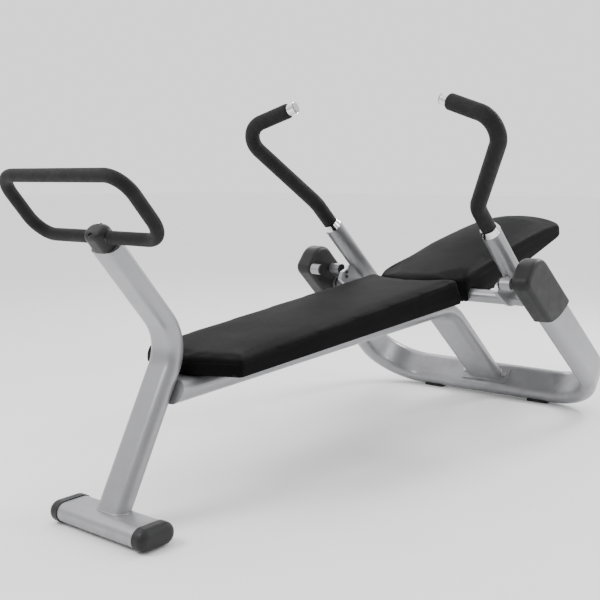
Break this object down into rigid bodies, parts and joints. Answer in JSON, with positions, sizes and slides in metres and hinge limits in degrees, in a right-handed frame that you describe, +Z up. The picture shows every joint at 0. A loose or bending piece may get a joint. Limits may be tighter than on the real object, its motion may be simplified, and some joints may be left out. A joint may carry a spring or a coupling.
{
  "type": "sit up bench",
  "caption": "Abdominal bench: long padded bench on a post and U frame, with a contoured back pad and two padded handles that swing together about a cross tube, and a grab loop.",
  "frame": {"origin": "on the floor, at the middle of the bounding box's footprint", "axes": "+Z up, +X from the foot end with the grab loop to the head end with the back pad, +Y to the left of a user lying on the bench face up"},
  "size_m": [1.9686, 0.8346, 0.9232],
  "materials": {
    "silver_paint": "satin",
    "steel_core": "satin",
    "chrome_plate": "polished",
    "zinc_fastener": "satin",
    "black_fastener": "satin",
    "black_plastic": "satin",
    "grey_plastic": "satin",
    "black_vinyl": "satin",
    "black_foam": "matte",
    "black_rubber": "matte",
    "plywood": "matte"
  },
  "bodies": {
    "fixed_frame": {"bearing_housing_left": "silver_paint", "bearing_housing_right": "silver_paint", "bench_board": "plywood", "bench_cushion": "black_vinyl", "bench_pad_brackets": "silver_paint", "bench_pad_screws": "zinc_fastener", "brace_foot_bolts": "zinc_fastener", "brace_foot_plate": "silver_paint", "foot_stabiliser": "silver_paint", "front_peg_left": "silver_paint", "front_peg_right": "silver_paint", "front_post": "silver_paint", "grab_loop_sleeve": "black_foam", "grab_loop_tube": "steel_core", "leg_cap_left": "black_plastic", "leg_cap_right": "black_plastic", "loop_clamp_cover": "black_plastic", "loop_clamp_saddle": "black_plastic", "loop_clamp_screws": "black_fastener", "main_beam": "silver_paint", "peg_end_plugs": "black_plastic", "pivot_bush_left": "black_plastic", "pivot_bush_right": "black_plastic", "post_top_plate": "silver_paint", "rear_peg_left": "silver_paint", "rear_peg_right": "silver_paint", "rest_bumper": "black_rubber", "rest_stop_post": "silver_paint", "stabiliser_cap_left": "black_plastic", "stabiliser_cap_right": "black_plastic", "stabiliser_feet": "black_rubber", "travel_stop_pad": "black_rubber", "u_frame": "silver_paint", "u_frame_feet": "black_rubber"},
    "swing_frame": {"pivot_tube": "silver_paint", "stub_shaft_right": "steel_core", "stub_shaft_left": "steel_core", "pivot_washers": "zinc_fastener", "pivot_screws": "zinc_fastener", "arm_bracket_right": "silver_paint", "arm_bracket_left": "silver_paint", "arm_bracket_bolts": "black_fastener", "arm_tube_right": "silver_paint", "arm_tube_left": "silver_paint", "arm_end_plugs": "black_plastic", "arm_collar_right": "chrome_plate", "arm_collar_left": "chrome_plate", "handle_bar_right": "steel_core", "handle_bar_left": "steel_core", "hand_grip_right": "black_foam", "hand_grip_left": "black_foam", "handle_end_sleeve_right": "chrome_plate", "handle_end_sleeve_left": "chrome_plate", "handle_end_discs": "grey_plastic", "back_rail": "silver_paint", "travel_stop_lug": "silver_paint", "back_pan": "black_plastic", "back_cushion": "black_vinyl", "back_pad_screws": "zinc_fastener"}
  },
  "joints": [
    {"name": "swing_pivot", "type": "hinge", "parent": "fixed_frame", "child": "swing_frame", "pos_m": [0.35832, 0, 0.378], "axis": [0, -1, 0], "range_deg": [0, 30]}
  ]
}
